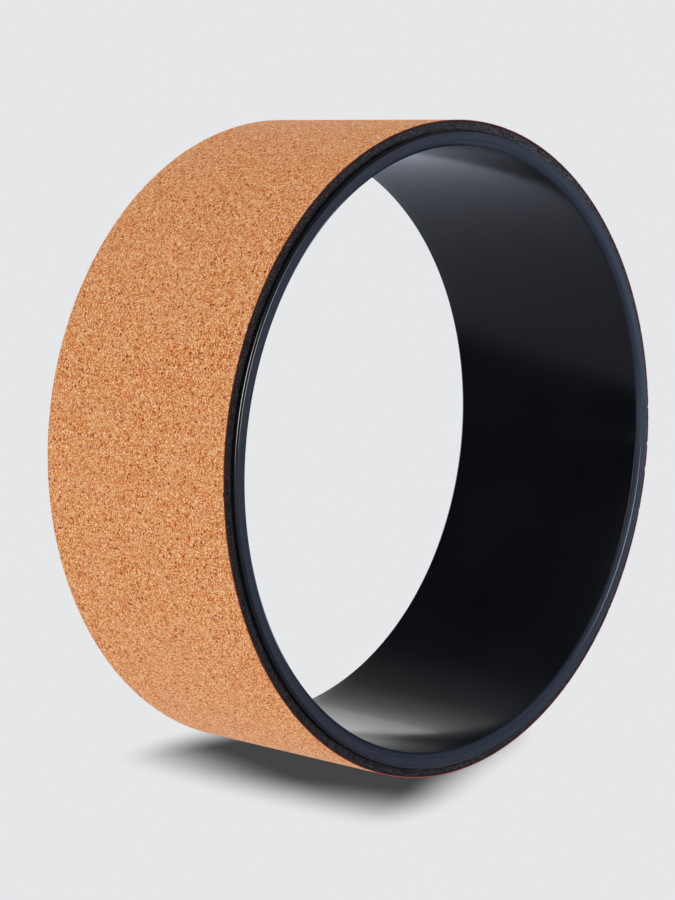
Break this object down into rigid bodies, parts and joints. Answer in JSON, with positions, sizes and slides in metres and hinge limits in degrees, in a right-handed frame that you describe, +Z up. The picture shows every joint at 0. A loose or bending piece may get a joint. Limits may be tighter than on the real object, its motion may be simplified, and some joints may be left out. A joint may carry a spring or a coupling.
{
  "type": "yoga wheel",
  "caption": "Wide hollow yoga wheel for back stretches: a rigid plastic hoop wrapped in a thin foam pad and covered with a glued sheet of agglomerated cork.",
  "frame": {"origin": "centre of the wheel, on its axis and midway between the hoop's two end faces", "axes": "+Y along the wheel's axis, +Z up; the wheel stands upright on its tread, which meets the floor at z = -0.165 m"},
  "size_m": [0.33, 0.127, 0.33],
  "materials": {
    "hoop_plastic": "smooth glossy black plastic with a faint blue cast, turned end faces",
    "black_foam": "matte black closed-cell foam with open cells at the cut edges",
    "cork": "fine-grained agglomerated cork, sanded matte",
    "adhesive": "thin dark film of dried contact adhesive"
  },
  "bodies": {
    "root": {"core_hoop": "hoop_plastic", "hoop_adhesive": "adhesive", "foam_pad": "black_foam", "cork_adhesive": "adhesive", "cork_cover": "cork"}
  },
  "joints": []
}
